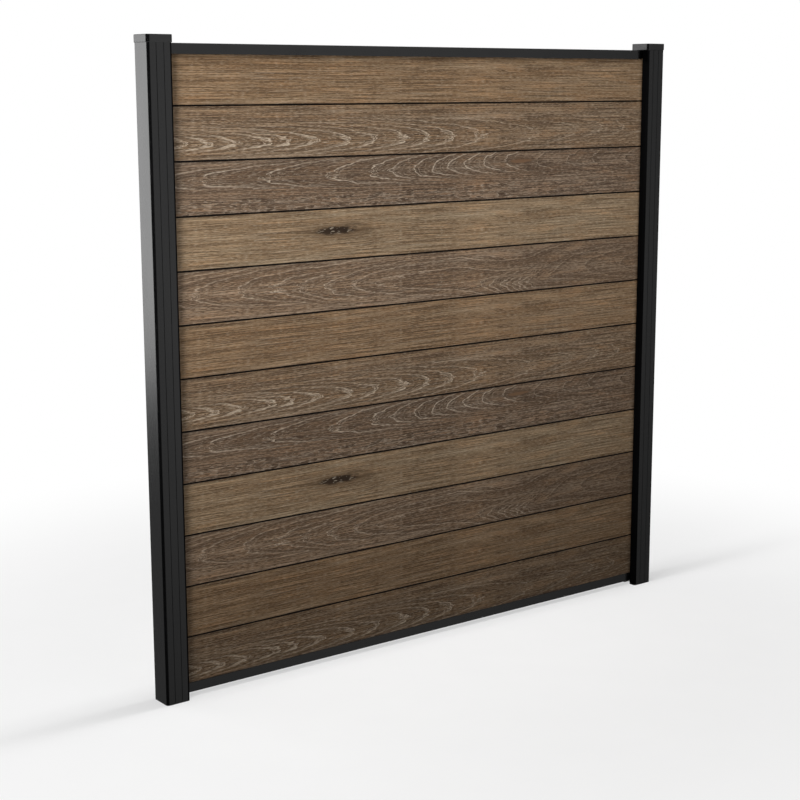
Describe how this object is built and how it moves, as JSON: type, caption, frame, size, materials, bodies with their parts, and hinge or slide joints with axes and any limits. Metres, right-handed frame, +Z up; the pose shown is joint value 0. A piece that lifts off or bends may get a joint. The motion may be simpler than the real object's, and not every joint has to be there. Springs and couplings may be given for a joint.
{
  "type": "fence panel",
  "caption": "Privacy fence bay: tongue and groove wood-look planks stacked between two slotted black posts with flat caps, closed by channel rails at top and bottom.",
  "frame": {"origin": "on the ground, below the middle of the bay, half way between front and back", "axes": "+X along the bay to the right as seen from the front, +Y to the back, +Z up"},
  "size_m": [1.95, 0.079, 1.8664],
  "materials": {
    "light_oak_plank": "matt, embossed straight oak grain",
    "limed_oak_plank": "matt, embossed oak cathedral grain with pale pores",
    "black_powder_coat": "fine satin powder coat on extruded aluminium",
    "black_cap": "satin moulded plastic",
    "stainless_steel": "brushed stainless steel"
  },
  "bodies": {
    "root": {"plank_01": "limed_oak_plank", "plank_02": "light_oak_plank", "plank_03": "limed_oak_plank", "plank_04": "light_oak_plank", "plank_05": "limed_oak_plank", "plank_06": "limed_oak_plank", "plank_07": "light_oak_plank", "plank_08": "limed_oak_plank", "plank_09": "light_oak_plank", "plank_10": "limed_oak_plank", "plank_11": "limed_oak_plank", "plank_12": "light_oak_plank", "left_post": "black_powder_coat", "right_post": "black_powder_coat", "top_rail": "black_powder_coat", "bottom_rail": "black_powder_coat", "left_post_cap": "black_cap", "right_post_cap": "black_cap", "left_rail_bracket": "stainless_steel", "right_rail_bracket": "stainless_steel", "bracket_screws": "stainless_steel"}
  },
  "joints": []
}
